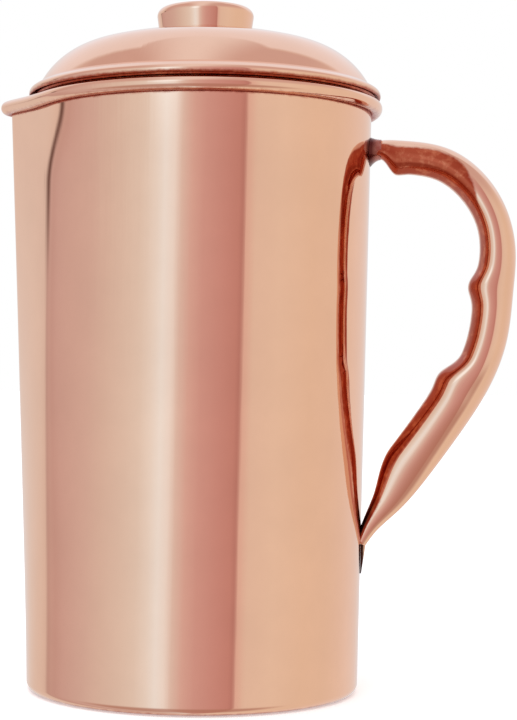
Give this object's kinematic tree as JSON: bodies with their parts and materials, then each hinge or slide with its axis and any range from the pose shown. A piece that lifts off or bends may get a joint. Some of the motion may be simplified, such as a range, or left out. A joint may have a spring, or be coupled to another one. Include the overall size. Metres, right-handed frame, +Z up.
{
  "type": "lidded water jug",
  "caption": "Tall straight-sided polished copper water jug with a drawn pouring lip, rolled rim, hollow loop handle with finger bumps and a domed lift-off lid with a flat round knob.",
  "frame": {"origin": "centre of the base on the plane that the jug stands on", "axes": "+Z up, +X from the jug's middle towards the handle, -X towards the pouring lip"},
  "size_m": [0.1788, 0.1228, 0.2361],
  "materials": {
    "copper_wall": "mirror-polished copper",
    "copper_base": "satin copper",
    "copper_handle": "polished copper",
    "braze": "polished braze, copper coloured",
    "copper_lid": "mirror-polished copper",
    "copper_collar": "satin copper",
    "copper_knob": "mirror-polished copper",
    "brass_insert": "turned brass",
    "steel_fastener": "turned stainless steel",
    "steel_wire": "drawn wire"
  },
  "bodies": {
    "jug": {"body_wall": "copper_wall", "rim_wire": "steel_wire", "base_plate": "copper_base", "handle_shell_left": "copper_handle", "handle_shell_right": "copper_handle", "handle_braze_upper": "braze", "handle_braze_lower": "braze"},
    "lid": {"lid_dome": "copper_lid", "lid_collar": "copper_collar", "knob_shell": "copper_knob", "knob_insert": "brass_insert", "knob_washer": "steel_fastener", "knob_screw": "steel_fastener"}
  },
  "joints": [
    {"name": "lid_lift", "type": "slide", "parent": "jug", "child": "lid", "axis": [0, 0, 1], "range_m": [0, 0.08]}
  ]
}
